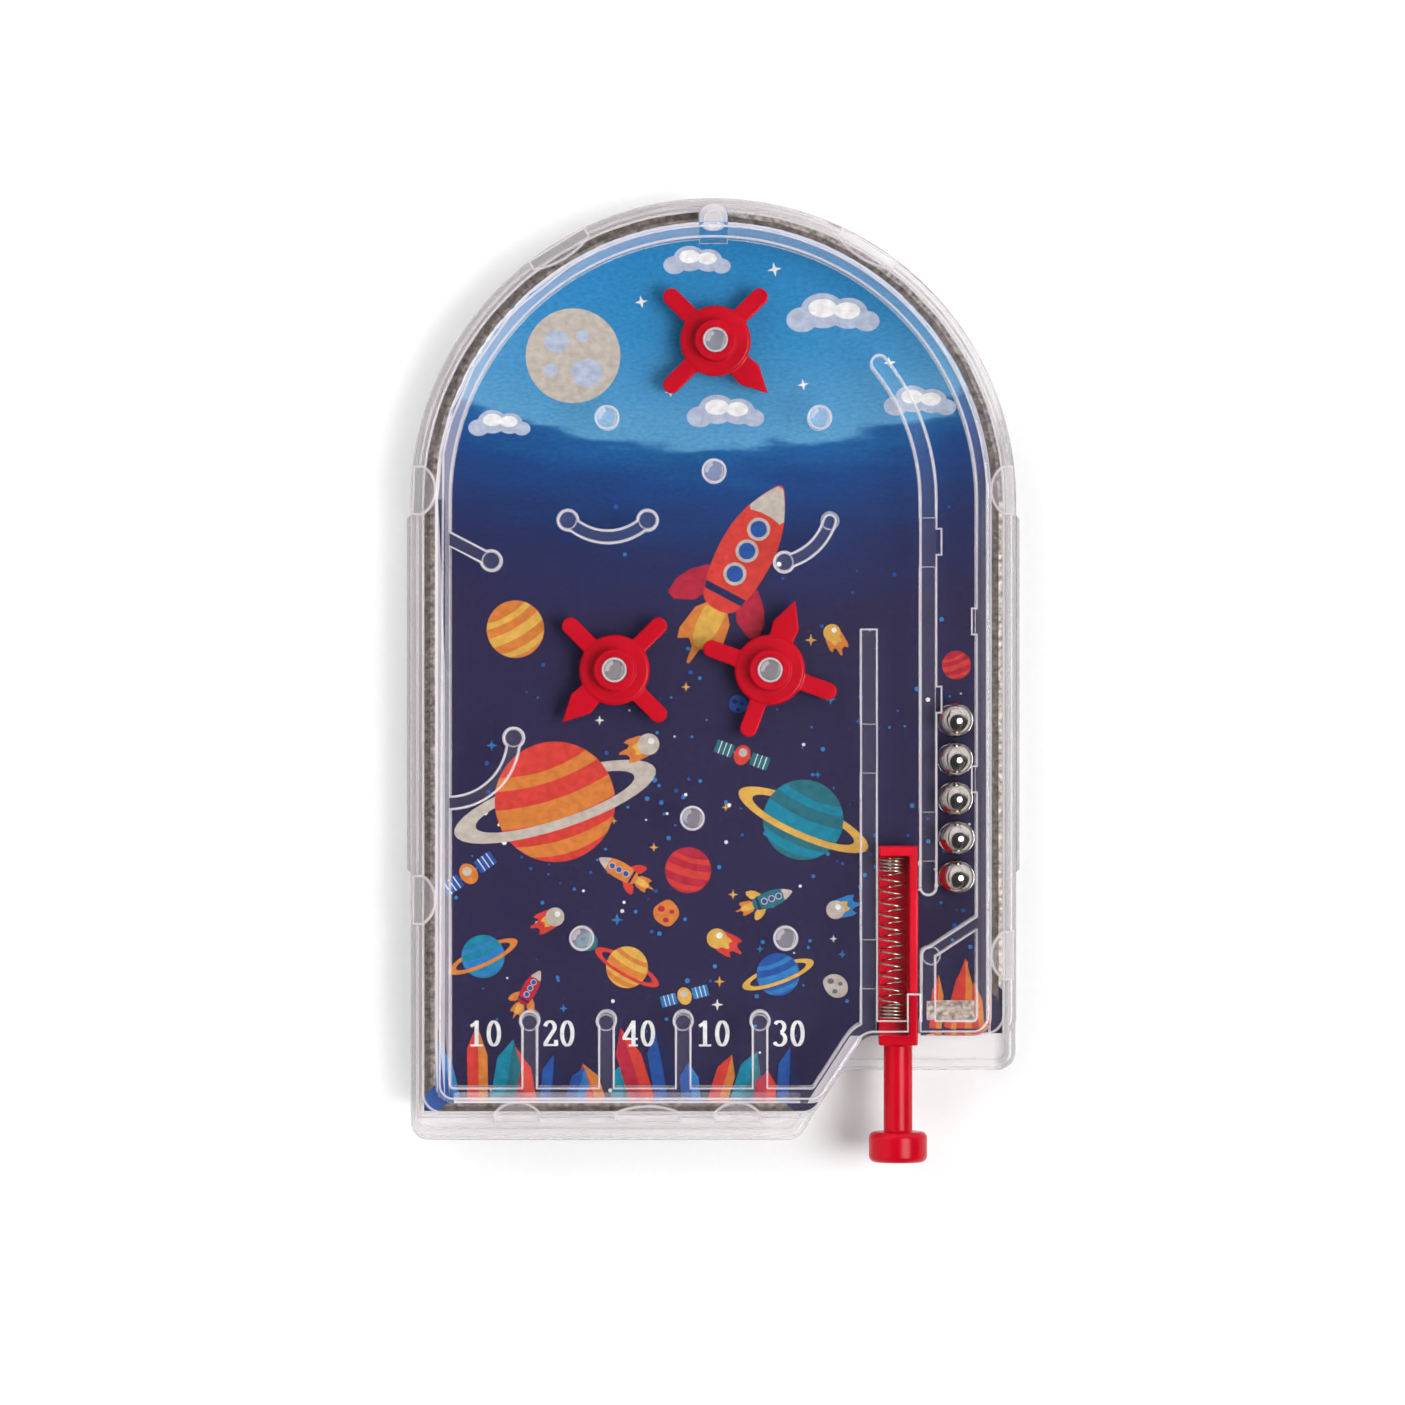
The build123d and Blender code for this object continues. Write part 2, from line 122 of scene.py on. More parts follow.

# Painted light in the cover's wall, with its edges from the outside in, the painted gleam on the lower rim,
# and materials
WALL_EDGES = (38.3, 37.95, 37.05, 36.4)
WALL_LOW_Y = (-58.4, -58.1, -57.7, -57.0)
WALL_LEFT_X, WALL_RIGHT_X = -35.8, 12.0
WALL_TAPER_Y, WALL_FADE_Y = -48.0, 2.0
SLANT_OUTER, SLANT_INNER = 0.3, 2.0
LINE_TONE, LIGHT_TONE, VEIL_TONE, GLEAM_TONE = range(4)
ARCH_TONES = (LINE_TONE, VEIL_TONE, VEIL_TONE)
GLEAM_X, GLEAM_Y = (-41.0, 9.5), (-61.6, -60.5)

# Speckled band under the brim, as outer and inner edges with their tones: its own grey, with lighter and
# darker strips that are painted light and shade
BAND_OUTER = 40.28
LEFT_BAND = ((BAND_OUTER, 39.35, "dark"), (39.35, 38.85, "middle"), (38.85, 38.35, "light"))
RIGHT_BAND = ((BAND_OUTER, 39.65, "light", "cream"), (39.65, 38.4, "dark", "dark"))
BAND_LEFT_Y, BAND_RIGHT_Y = -58.0, -44.5
BAND_LOW_X, BAND_LOW_DROP, BAND_LOW_SHARE = (-38.4, 11.4), 0.08, 0.84
SHELF_PATCH = (29.6, 36.3, -47.2, -44.6)

# Spring and the plunger's travel
SPRING_X, SPRING_Z = 24.85, 11.0
SPRING_LOW_Y, SPRING_HIGH_Y = -46.95, -24.75
COIL_RADIUS, WIRE_RADIUS = 1.75, 0.14
CLOSED_TURNS, OPEN_TURNS, CLOSED_PITCH = 4, 11, 0.47
TURN_POINTS = 26

# Places on the printed card: the sky's rings round a far centre, the moon, and things as x, y and size
SKY_CENTRE_Y, SKY_NEAR, SKY_FAR, SKY_WANDER = 118.0, 54.0, 184.0, 8.0
MOON = (-19.5, 45.0, 6.6)
CRATERS = ((-21.8, 47.0, 1.7), (-17.6, 42.6, 2.2), (-18.2, 47.8, 0.9), (-22.6, 43.0, 1.0))
CLOUDS = ((17.0, 50.0, 3.6), (-2.0, 57.6, 2.6), (-29.5, 35.0, 2.4), (29.0, 38.0, 2.8), (2.0, 36.5, 3.0))
SKY_STARS = ((8.5, 57.0, 1.0), (-10.0, 52.5, 0.9), (24.5, 44.0, 0.9), (-6.0, 40.0, 0.8), (12.5, 41.0, 0.8))
SKY_STAR_TURN = 10
NIGHT_STARS, NIGHT_STAR_X, NIGHT_STAR_Y, NIGHT_STAR_SIZE = 26, (-35, 19), (-46, 20), (0.45, 0.9)
SPECKS, SPECK_SIZE, SPECK_X = 230, (0.12, 0.34), (-36, 36)
SPECK_LOW_Y, SPECK_HIGH_Y, SPECK_MIDDLE_Y, SPECK_SPREAD = -57.0, 24.0, -22, 17
CORNER_SPECK_Y, CORNER_SPECK_X = -45, 12
BLUE_PATCH = ((-40.1, -59.9), (-35.6, -59.9), (-40.1, -55.4))
SCORES = (("10", -31.7), ("20", -21.5), ("40", -10.3), ("10", 0.05), ("30", 10.5))
SCORE_Y, DIGIT_STEP, SCORE_LAYER, STROKE_STEP = -51.0, 2.4, 5.5, 0.3

# Inks and tones, from 0 to 255 as on a screen, those of the sky along its way from near to far
INK_COLOURS = {
    "white": (255, 253, 252),
    "cloud": (190, 200, 222),
    "cream": (206, 194, 182),
    "red": (224, 62, 50),
    "crimson": (188, 30, 58),
    "orange": (226, 132, 54),
    "yellow": (234, 182, 80),
    "teal": (34, 112, 126),
    "turquoise": (0, 138, 166),
    "blue": (30, 84, 168),
    "cyan": (44, 128, 196),
    "grey": (112, 110, 124),
    "night": (26, 30, 84),
}
SKY_STOPS = (
    (0.0, (16, 126, 190)),
    (0.16, (44, 142, 200)),
    (0.275, (92, 164, 210)),
    (0.283, (10, 96, 160)),
    (0.32, (4, 66, 134)),
    (0.39, (28, 42, 96)),
    (0.47, (42, 34, 76)),
    (1.0, (40, 32, 72)),
)
# Tones of the band: the grey is its own, and the steps from cream down to dark are painted light and shade
BAND_TONES = {
    "cream": (255, 242, 226),
    "pale": (206, 190, 176),
    "light": (176, 167, 163),
    "middle": (146, 133, 125),
    "dark": (108, 97, 92),
}
BOARD_TONE = (205, 202, 200)

# Rows of crystals: their number, first x, step, y, heights, widths, largest lean and pairs of inks
FIRE_INKS = ("red", "orange")
CRYSTAL_INKS = (("blue", "cyan"), FIRE_INKS, ("turquoise", "teal"), ("crimson", "red"), ("blue", "night"))
CRYSTAL_ROWS = (
    (15, -36.0, 3.3, -59.2, (4.5, 11.5), (2.2, 3.6), 20, CRYSTAL_INKS),
    (4, 30.8, 2.0, -48.4, (6.0, 10.5), (1.6, 2.4), 16, (FIRE_INKS,)),
)

# Linear colours, shares that shaders take, and the place from which painted shade makes the base greyer to the
# right
INK_LEVEL = 0.6
MILKY = (0.80, 0.755, 0.775)
RED = (0.48, 0.001, 0.012)
LAMP_TINT = (0.968, 0.97, 0.972)
FLOOR_TONE, FLOOR_SPREAD = (0.9, 0.9, 0.9), 0.005
PLASTIC_INDEX, PRINT_GLOSS = 1.5, 0.15
SKY_GRAIN, BAND_SPREAD = 0.35, 0.55
RIGHT_START = 39.0

# Noise in the materials, as a scale per metre
MILK_NOISE, ROUND_NOISE = 700.0, 120.0
CLEAR_NOISE, WAVE_NOISE = 260.0, 90.0
FLOW_NOISE, SKIN_NOISE = 180.0, 2200.0
BRUSH_NOISE, SPECKLE_NOISE, SKY_NOISE = 900.0, 1300.0, 220.0
WEAVE_NOISE, PAPER_NOISE = 2600.0, 3500.0

# Camera straight above, with its height and that of the plane it is set for in metres
PIXELS_PER_MM, PHOTO_SIDE = 7.2, 1405
CAMERA_X, CAMERA_Y = -1.5, -3.2
SENSOR_WIDTH = 36.0
CAMERA_HEIGHT, PLANE_SEEN = 1.0, 0.009

# Floor and lamps in metres: a lamp's place, width, power in watts, and whether shiny and clear pieces show it
FLOOR_HALF = 1.5
LAMPS = {
    "key": ((0.50, -0.12, 0.86), 0.55, 7.4, True),
    "fill": ((-0.50, 0.42, 0.75), 0.9, 2.8, False),
}

# Room's light, and its dark part overhead: half width, half depth, x, y, end of the dark, start of the light
ROOM_DARK, ROOM_LIGHT = (0.04, 0.04, 0.042), (1.06, 1.06, 1.065)
NEAR_LEVEL, FAR_LEVEL = 0.62, 1.3
LIT_OVAL = (1.0, 0.74, 0.35, 0.0, 0.68, 0.96)
MIRRORED_OVAL = (0.9, 0.9, 0.25, -0.25, 0.84, 1.0)


def screen(red, green, blue):
    """A colour given from 0 to 255 as on a screen, in the linear scale that shaders use."""
    shares = [value / 255 for value in (red, green, blue)]
    return tuple(s / 12.92 if s <= 0.04045 else ((s + 0.055) / 1.055) ** 2.4 for s in shares)


def ink(red, green, blue):
    """A printed colour as it looks on a screen, at the depth that the studio light asks for."""
    return tuple(share * INK_LEVEL for share in screen(red, green, blue))


# Materials
def new_material(name):
    """A material, its node tree and its Principled shader."""
    mat = bpy.data.materials.new(name)
    mat.use_nodes = True
    return mat, mat.node_tree, mat.node_tree.nodes["Principled BSDF"]


def add(tree, kind, **values):
    """A shader node, with its sockets set by name."""
    node = tree.nodes.new(kind)
    for name, value in values.items():
        node.inputs[name.replace("_", " ")].default_value = value
    return node


def noise(tree, scale, detail=3.0, stretch=(1, 1, 1)):
    """Noise in the object's own coordinates, at a scale per metre."""
    coord = add(tree, "ShaderNodeTexCoord")
    mapping = add(tree, "ShaderNodeMapping", Scale=stretch)
    node = add(tree, "ShaderNodeTexNoise", Scale=scale, Detail=detail)
    tree.links.new(coord.outputs["Object"], mapping.inputs["Vector"])
    tree.links.new(mapping.outputs["Vector"], node.inputs["Vector"])
    return node.outputs["Fac"]


def span(tree, source, low, high):
    """A value from 0 to 1 carried over to the range from low to high."""
    node = add(tree, "ShaderNodeMapRange", To_Min=low, To_Max=high)
    tree.links.new(source, node.inputs["Value"])
    return node.outputs["Result"]


def ramp(tree, source, stops):
    """Colours along a value, each stop a place from 0 to 1 and a linear colour."""
    node = add(tree, "ShaderNodeValToRGB")
    elements = node.color_ramp.elements
    while len(elements) < len(stops):
        elements.new(0.5)
    for element, (place, colour) in zip(elements, stops):
        element.position = place
        element.color = (*colour, 1)
    tree.links.new(source, node.inputs["Fac"])
    return node.outputs["Color"]


def scaled(tree, colour, factor):
    """A colour, given as numbers or as a socket, times a factor."""
    node = add(tree, "ShaderNodeVectorMath")
    node.operation = "SCALE"
    if isinstance(colour, tuple):
        node.inputs["Vector"].default_value = colour
    else:
        tree.links.new(colour, node.inputs["Vector"])
    tree.links.new(factor, node.inputs["Scale"])
    return node.outputs["Vector"]


def product(tree, first, second):
    """The product of two values."""
    node = add(tree, "ShaderNodeMath")
    node.operation = "MULTIPLY"
    tree.links.new(first, node.inputs[0])
    tree.links.new(second, node.inputs[1])
    return node.outputs["Value"]


def across(tree, start, right):
    """A value that goes from 1 at a place in millimetres to another value at the card's right edge."""
    coord = add(tree, "ShaderNodeTexCoord")
    split = add(tree, "ShaderNodeSeparateXYZ")
    node = add(
        tree, "ShaderNodeMapRange", From_Min=start * MM, From_Max=CARD_HALF * MM, To_Min=1.0, To_Max=right
    )
    tree.links.new(coord.outputs["Object"], split.inputs["Vector"])
    tree.links.new(split.outputs["X"], node.inputs["Value"])
    return node.outputs["Result"]


def distance(tree, source, scale, shift):
    """How far a point is from the origin, once it is scaled and shifted."""
    moved = add(tree, "ShaderNodeVectorMath")
    moved.operation = "MULTIPLY_ADD"
    moved.inputs[1].default_value = scale
    moved.inputs[2].default_value = shift
    length = add(tree, "ShaderNodeVectorMath")
    length.operation = "LENGTH"
    tree.links.new(source, moved.inputs[0])
    tree.links.new(moved.outputs["Vector"], length.inputs[0])
    return length.outputs["Value"]


def bump(tree, shader, height, strength, depth):
    """A bump on the shader's normal, with its depth in millimetres."""
    node = add(tree, "ShaderNodeBump", Strength=strength, Distance=depth * MM)
    tree.links.new(height, node.inputs["Height"])
    tree.links.new(node.outputs["Normal"], shader.inputs["Normal"])


def milk(tree, colour):
    """A matt shader for the light that plastic scatters."""
    grain = noise(tree, MILK_NOISE)
    node = add(tree, "ShaderNodeBsdfDiffuse")
    dim = tuple(c * 0.93 for c in colour)
    tree.links.new(ramp(tree, grain, ((0.3, dim), (0.7, colour))), node.inputs["Color"])
    tree.links.new(span(tree, grain, 0.1, 0.5), node.inputs["Roughness"])
    bump(tree, node, grain, 0.05, 0.03)
    return node.outputs["BSDF"]


def mixed(tree, share, first, second):
    """Two shaders mixed, where the share is a number or a socket."""
    node = add(tree, "ShaderNodeMixShader")
    if isinstance(share, float):
        node.inputs["Fac"].default_value = share
    else:
        tree.links.new(share, node.inputs["Fac"])
    tree.links.new(first, node.inputs[1])
    tree.links.new(second, node.inputs[2])
    return node.outputs["Shader"]


def clear_plastic(name, tint, rough_low, rough_high, haze, waves=0.05, right=1.0):
    """Clear moulded plastic with a share of haze, which lets lamps through, with painted shade that makes its
    tint greyer to the right.
    """
    mat, tree, shader = new_material(name)
    shader.inputs["Base Color"].default_value = (*tint, 1)
    # Painted shade: the tint gets darker towards the card's right edge
    if right < 1:
        tree.links.new(scaled(tree, tint, across(tree, RIGHT_START, right)), shader.inputs["Base Color"])
    shader.inputs["Transmission Weight"].default_value = 1.0
    shader.inputs["IOR"].default_value = PLASTIC_INDEX
    tree.links.new(span(tree, noise(tree, CLEAR_NOISE), rough_low, rough_high), shader.inputs["Roughness"])
    bump(tree, shader, noise(tree, WAVE_NOISE, 1.0), waves, 0.2)
    hazy = mixed(tree, haze, shader.outputs["BSDF"], milk(tree, MILKY))
    film = add(tree, "ShaderNodeBsdfTransparent", Color=(*LAMP_TINT, 1))
    path = add(tree, "ShaderNodeLightPath")
    surface = mixed(tree, path.outputs["Is Shadow Ray"], hazy, film.outputs["BSDF"])
    tree.links.new(surface, tree.nodes["Material Output"].inputs["Surface"])
    return mat


def milky_round(name, low, high, right=1.0):
    """A thin matt skin, partly clear and clearer to the right: painted highlight for the light that a moulded
    round catches, fading to the right as painted light, and the frosted face of the tab.
    """
    mat, tree, _ = new_material(name)
    film = add(tree, "ShaderNodeBsdfTransparent", Color=(1, 1, 1, 1))
    share = span(tree, noise(tree, ROUND_NOISE), low, high)
    # Painted light that fades towards the card's right edge
    if right < 1:
        share = product(tree, share, across(tree, -CARD_HALF, right))
    surface = mixed(tree, share, film.outputs["BSDF"], milk(tree, MILKY))
    tree.links.new(surface, tree.nodes["Material Output"].inputs["Surface"])
    return mat


def red_plastic(name, depth, specular):
    """Glossy red moulded plastic with faint flow marks, whose red is scaled by depth: lit and shaded copies of
    one plastic, as painted light and shade.
    """
    mat, tree, shader = new_material(name)
    flow = noise(tree, FLOW_NOISE)
    shader.inputs["Specular IOR Level"].default_value = specular
    # Painted light and shade: depth brightens the red for the lit plunger and darkens it for the shaded
    # spinners
    dark, light = [tuple(depth * share * c for c in RED) for share in (0.92, 1.08)]
    colours = ramp(tree, flow, ((0.3, dark), (0.7, light)))
    tree.links.new(colours, shader.inputs["Base Color"])
    tree.links.new(span(tree, flow, 0.2, 0.3), shader.inputs["Roughness"])
    bump(tree, shader, noise(tree, SKIN_NOISE), 0.08, 0.05)
    return mat


def steel(name, colour, rough_low, rough_high, scale):
    """Bright steel with fine scratches."""
    mat, tree, shader = new_material(name)
    scratch = noise(tree, scale, 6.0)
    shader.inputs["Metallic"].default_value = 1.0
    darker = tuple(c * 0.86 for c in colour)
    tree.links.new(ramp(tree, scratch, ((0.3, darker), (0.7, colour))), shader.inputs["Base Color"])
    tree.links.new(span(tree, scratch, rough_low, rough_high), shader.inputs["Roughness"])
    bump(tree, shader, scratch, 0.03, 0.02)
    return mat


def grained(tree, colour, amount):
    """A colour with the fine woven grain of the printed board."""
    weave = noise(tree, WEAVE_NOISE, 2.0, (0.5, 1, 1))
    return scaled(tree, colour, span(tree, weave, 1 - amount, 1 + amount))


def on_board(tree, shader, tone, tooth):
    """Finishes a print with its tone, the board's low gloss, and roughness and bumps."""
    shader.inputs["Specular IOR Level"].default_value = PRINT_GLOSS
    tree.links.new(tone, shader.inputs["Base Color"])
    tree.links.new(span(tree, tooth, 0.4, 0.6), shader.inputs["Roughness"])
    bump(tree, shader, noise(tree, PAPER_NOISE), 0.1, 0.03)


def printed(name, colour, spread=0.12, scale=BRUSH_NOISE):
    """Printed ink: a colour with the grain of a painted original."""
    mat, tree, shader = new_material(name)
    brush = noise(tree, scale, 5.0)
    dark = tuple(c * (1 - spread) for c in colour)
    light = tuple(min(1, c * (1 + spread) + 0.004) for c in colour)
    tone = ramp(tree, brush, ((0.35, dark), (0.65, light)))
    on_board(tree, shader, grained(tree, tone, spread), brush)
    return mat


def sky_print():
    """The card's ground: pale air round a planet's curved edge, then deep blue and night."""
    mat, tree, shader = new_material("sky_print")
    coord = add(tree, "ShaderNodeTexCoord")
    far = distance(tree, coord.outputs["Object"], (1, 1, 0), (0, -SKY_CENTRE_Y * MM, 0))
    strokes = noise(tree, SKY_NOISE, 6.0, (0.35, 1.4, 1))
    wander = add(tree, "ShaderNodeMath")
    wander.operation = "MULTIPLY_ADD"
    wander.inputs[1].default_value = SKY_WANDER * MM
    tree.links.new(strokes, wander.inputs[0])
    tree.links.new(far, wander.inputs[2])
    place = add(tree, "ShaderNodeMapRange", From_Min=SKY_NEAR * MM, From_Max=SKY_FAR * MM)
    tree.links.new(wander.outputs["Value"], place.inputs["Value"])
    stops = [(share, ink(*tone)) for share, tone in SKY_STOPS]
    tone = ramp(tree, place.outputs["Result"], stops)
    on_board(tree, shader, grained(tree, tone, SKY_GRAIN), strokes)
    return mat


clear_cover = clear_plastic("clear_cover", (0.955, 0.955, 0.96), 0.01, 0.05, 0.0)
cover_foot = clear_plastic("cover_foot", (0.955, 0.955, 0.96), 0.05, 0.12, 0.02)
# The base's tint darkens to the right as painted shade
clear_base = clear_plastic("clear_base", (0.9, 0.88, 0.875), 0.12, 0.2, 0.14, 0.015, 0.6)
clear_clip = clear_plastic("clear_clip", (0.95, 0.94, 0.935), 0.05, 0.1, 0.08, 0.015)
# Milky skins: painted highlights along rounds, on peg and axle ends and in the cover's wall, some fading to
# the right as painted light; rim_gleam is a painted gleam, and the tab's skin is its frosted face
round_light = milky_round("round_light", 0.22, 0.44)
rim_light = milky_round("rim_light", 0.26, 0.48, 0.15)
faint_light = milky_round("faint_light", 0.12, 0.26)
peg_light = milky_round("peg_light", 0.1, 0.22)
pin_light = milky_round("pin_light", 0.14, 0.3)
tab_light = milky_round("tab_light", 0.45, 0.62)
wall_line = milky_round("wall_line", 0.7, 0.95, 0.45)
wall_light = milky_round("wall_light", 0.4, 0.65, 0.05)
wall_veil = milky_round("wall_veil", 0.14, 0.3, 0.05)
rim_gleam = milky_round("rim_gleam", 0.0, 1.0)
# Lit and shaded copies of one red plastic: painted light on the plunger, painted shade on the spinners
plunger_red_lit = red_plastic("plunger_red_lit", 1.08, 0.15)
spinner_red_shaded = red_plastic("spinner_red_shaded", 0.84, 0.1)
ball_steel = steel("ball_steel", (0.66, 0.61, 0.57), 0.05, 0.12, 1500.0)
spring_steel = steel("spring_steel", (0.7, 0.63, 0.54), 0.12, 0.25, 4000.0)
board = printed("board", screen(*BOARD_TONE))
# Band tones: its own speckled grey, with painted light and shade
band_greys_and_shade = [
    printed("band_" + name, ink(*tone), BAND_SPREAD, SPECKLE_NOISE)
    for name, tone in BAND_TONES.items()
]


# Outlines seen from above, in millimetres
def placed(points, x, y, turn=0.0, scale=1.0):
    """Points that are scaled, turned by an angle in degrees, and moved."""
    c = math.cos(math.radians(turn)) * scale
    s = math.sin(math.radians(turn)) * scale
    return [(x + c * px - s * py, y + s * px + c * py) for px, py in points]


def arc(x, y, rx, ry, start=0.0, end=360.0):
    """Points along an ellipse, from one angle to another."""
    count = max(8, round(abs(end - start) / 10))
    angles = [math.radians(start + (end - start) * n / count) for n in range(count + 1)]
    if abs(end - start) == 360.0:
        angles.pop()
    return [(x + rx * math.cos(a), y + ry * math.sin(a)) for a in angles]


def ring(x, y, radius, z):
    """A closed circle of points at one height."""
    points = [(px, py, z) for px, py in arc(x, y, radius, radius)]
    return points + points[:1]


def smooth(points, times=2):
    """A closed outline with its corners cut off again and again, which rounds it."""
    for _ in range(times):
        pairs = list(zip(points, points[1:] + points[:1]))
        points = [
            (a[0] + (b[0] - a[0]) * share, a[1] + (b[1] - a[1]) * share)
            for a, b in pairs
            for share in (0.25, 0.75)
        ]
    return points


# Pieces
def new_piece(name, mesh, materials, body, slot, *stands_for):
    """Puts a mesh in the scene as a piece that moves with a body of the frame."""
    obj = bpy.data.objects.new(name, mesh)
    bpy.context.collection.objects.link(obj)
    for material in materials:
        mesh.materials.append(material)
    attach(obj, body)
    if stands_for:
        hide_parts(*stands_for)
    return obj


def joined_copy(node):
    """A CAD piece's mesh with its flat facets joined."""
    bm = bmesh.new()
    bm.from_mesh(nodes[node].data)
    bmesh.ops.remove_doubles(bm, verts=bm.verts, dist=JOIN_NEAR * MM)
    bmesh.ops.dissolve_limit(bm, angle_limit=JOIN_ANGLE, verts=bm.verts, edges=bm.edges)
    return bm


def sharp_edges(bm):
    """Edges between faces that meet at an angle."""
    return [edge for edge in bm.edges if edge.calc_face_angle(0) > SHARP_ANGLE]


def round_edges(bm, is_flat):
    """Edges at which a flat face, told by its normal's z, runs into a round."""
    found = [e for e in bm.edges if len(e.link_faces) == 2]
    return [e for e in found if sorted(is_flat(f.normal.z) for f in e.link_faces) == [False, True]]


def level(z):
    """Whether a face with this z in its normal is a level top face."""
    return z > LEVEL_ABOVE


def upright(z):
    """Whether a face with this z in its normal stands upright."""
    return abs(z) < UPRIGHT_BELOW


def lines_at(bm, height, edges=None):
    """The sharp edges, or others, at one height, joined end to end into lines of points."""
    pool = edges or sharp_edges(bm)
    near = HEIGHT_NEAR * MM
    left = dict.fromkeys(e for e in pool if all(abs(v.co.z - height * MM) < near for v in e.verts))
    lines = []
    while left:
        line = list(left.popitem()[0].verts)
        for _ in range(2):
            line.reverse()
            onward = [e for e in line[-1].link_edges if e in left]
            while len(onward) == 1:
                del left[onward[0]]
                line.append(onward[0].other_vert(line[-1]))
                onward = [e for e in line[-1].link_edges if e in left]
        lines.append([tuple(v.co / MM) for v in line])
    return lines


def show_copy(bm, node, materials, body, slot):
    """Shows a worked mesh in the place of its CAD piece, with smooth rounds and flat faces."""
    for edge in bm.edges:
        edge.smooth = edge.calc_face_angle(math.pi) < SOFT_ANGLE
    for face in bm.faces:
        face.smooth = any(FLAT_ANGLE < edge.calc_face_angle(math.pi) < SOFT_ANGLE for edge in face.edges)
    mesh = bpy.data.meshes.new(node + "_shown")
    bm.to_mesh(mesh)
    bm.free()
    obj = new_piece(node + "_shown", mesh, materials, body, slot, node)
    obj.modifiers.new("flat faces stay flat", "WEIGHTED_NORMAL").keep_sharp = True


def tube(name, lines, radius):
    """Round wires along lines of points."""
    curve = bpy.data.curves.new(name, "CURVE")
    curve.dimensions = "3D"
    curve.bevel_depth = radius * MM
    curve.bevel_resolution = TUBE_STEPS
    curve.use_fill_caps = True
    for line in lines:
        closed = line[0] == line[-1]
        points = line[:-1] if closed else line
        spline = curve.splines.new("POLY")
        spline.use_cyclic_u = closed
        spline.points.add(len(points) - 1)
        for point, (x, y, z) in zip(spline.points, points):
            point.co = (x * MM, y * MM, z * MM, 1)
    holder = bpy.data.objects.new(name, curve)
    bpy.context.collection.objects.link(holder)
    bpy.context.view_layer.update()
    mesh = bpy.data.meshes.new_from_object(holder.evaluated_get(bpy.context.evaluated_depsgraph_get()))
    bpy.data.objects.remove(holder)
    mesh.materials.clear()
    for polygon in mesh.polygons:
        polygon.use_smooth = True
    return mesh


def drawn_in(point):
    """A point moved a little towards the middle of the arch."""
    x, y, z = point
    return x * RIM_INSET, ARCH_Y + (y - ARCH_Y) * RIM_INSET, z


# Clear case, with painted highlights along its moulded rounds: milky tubes for the light that the rounds catch
cover = joined_copy("cover")
base = joined_copy("base")
ceiling_lines = lines_at(cover, CEILING)
crown_tops = lines_at(cover, COVER_TOP, round_edges(cover, level))
crown_lines = [[(x, y, z - CROWN_DROP) for x, y, z in line] for line in crown_tops]
rim_tops = lines_at(base, BRIM_TOP, round_edges(base, level))
rim_sides = lines_at(base, RIM_SIDE, round_edges(base, upright))
side_lines = [[drawn_in(point) for point in line] for line in rim_sides]
ring_lines = [ring(x, y, RAIL_RING, RING_Z) for x, y in RAIL_ENDS]
ring_lines += [ring(x, HEAD_Y, HEAD_RING, RING_Z) for x in DIVIDER_HEADS]
ring_lines.append(ring(0, PIN_Y, PIN_HOLE, RING_Z))
# Painted highlights: milky tubes along the rounds, which stand in for the light that they catch
round_highlights = {
    "ceiling_round_highlights": (ceiling_lines, 0.18, round_light),
    "crown_round_highlights": (crown_lines, 0.16, round_light),
    "brim_round_highlights": (lines_at(cover, BRIM_TOP), 0.18, round_light),
    "foot_round_highlights": (lines_at(cover, FOOT), 0.11, faint_light),
    "end_ring_highlights": (ring_lines, 0.12, faint_light),
    "rim_round_highlights": (lines_at(base, BRIM_TOP) + lines_at(base, RIM_STEP), 0.15, faint_light),
    "rim_crest_highlights": (rim_tops, 0.12, rim_light),
    "rim_sides": (side_lines, 0.14, rim_light),
    "clip_round_highlights": (lines_at(base, CLIP_TOP), 0.2, round_light),
}
for name, (lines, radius, material) in round_highlights.items():
    new_piece(name, tube(name, lines, radius), [material], "case", "clear_plastic")
for face in cover.faces:
    if face.normal.z < DOWNWARD_BELOW and face.calc_center_median().z < FOOT_BELOW * MM:
        face.material_index = 1
show_copy(cover, "cover", (clear_cover, cover_foot), "case", "clear_plastic")
for face in base.faces:
    if face.calc_center_median().z > (BRIM_TOP + CLIP_STEP) * MM:
        face.material_index = 1
show_copy(base, "base", (clear_base, clear_clip), "case", "clear_plastic")

# Red mouldings with rounded edges, and steel balls
red_pieces = {"plunger": (PLUNGER_ROUND, plunger_red_lit)}
for name in SPINNERS:
    red_pieces["spinner_" + name] = (SPINNER_ROUND, spinner_red_shaded)
for node, (width, material) in red_pieces.items():
    piece = joined_copy(node)
    edges = sharp_edges(piece)
    bmesh.ops.bevel(piece, geom=edges, offset=width * MM, segments=3, profile=0.5, affect="EDGES")
    show_copy(piece, node, (material,), node, "red_plastic")
for number in range(1, BALL_COUNT + 1):
    steel_ball = nodes[f"ball_{number}"]
    steel_ball.data.materials.clear()
    steel_ball.data.materials.append(ball_steel)
    for polygon in steel_ball.data.polygons:
        polygon.use_smooth = True


# Printed card: flat shapes in inks, drawn in millimetres on the top of the board
drawn = []


def lay(colour, layer, points):
    """Adds one printed shape. Higher layers lie over lower ones."""
    drawn.append((colour, layer, points))


def belt(low, high, sag=0.12):
    """A stripe across a disc of radius 1, which hangs down in the middle."""
    shares = [n / 8 for n in range(-8, 9)]
    edge = {h: math.sqrt(1 - h * h) for h in (low, high)}
    under = [(s * edge[low], low - sag * (1 - s * s)) for s in shares]
    over = [(s * edge[high], high - sag * (1 - s * s)) for s in reversed(shares)]
    return under + over


